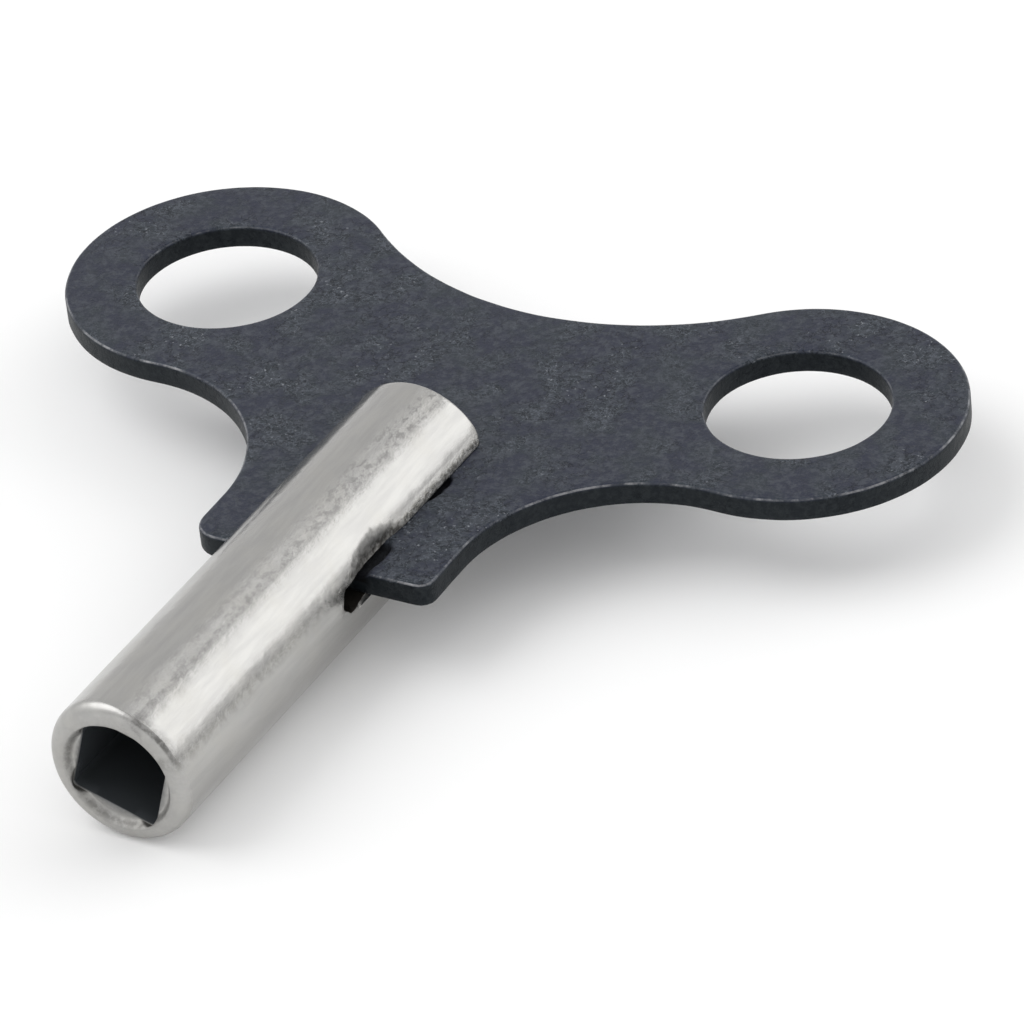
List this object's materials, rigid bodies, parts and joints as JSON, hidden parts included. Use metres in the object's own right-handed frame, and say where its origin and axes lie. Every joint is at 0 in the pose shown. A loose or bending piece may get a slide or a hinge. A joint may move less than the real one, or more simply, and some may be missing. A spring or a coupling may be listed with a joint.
{
  "type": "radiator bleed key",
  "caption": "Flat wing-shaped steel key with a round finger hole in each wing and a plated round shank that ends in a square socket.",
  "frame": {"origin": "centre of the whole key's box, level with the shank's axis", "axes": "+X across the wings, -Y out of the socket's mouth, +Z square to the wing plate"},
  "size_m": [0.0578, 0.0538, 0.009],
  "materials": {
    "wing_plate": "satin chemically blackened steel",
    "socket_shank": "satin nickel plate"
  },
  "bodies": {
    "root": {"wing_plate": "wing_plate", "socket_shank": "socket_shank"}
  },
  "joints": []
}
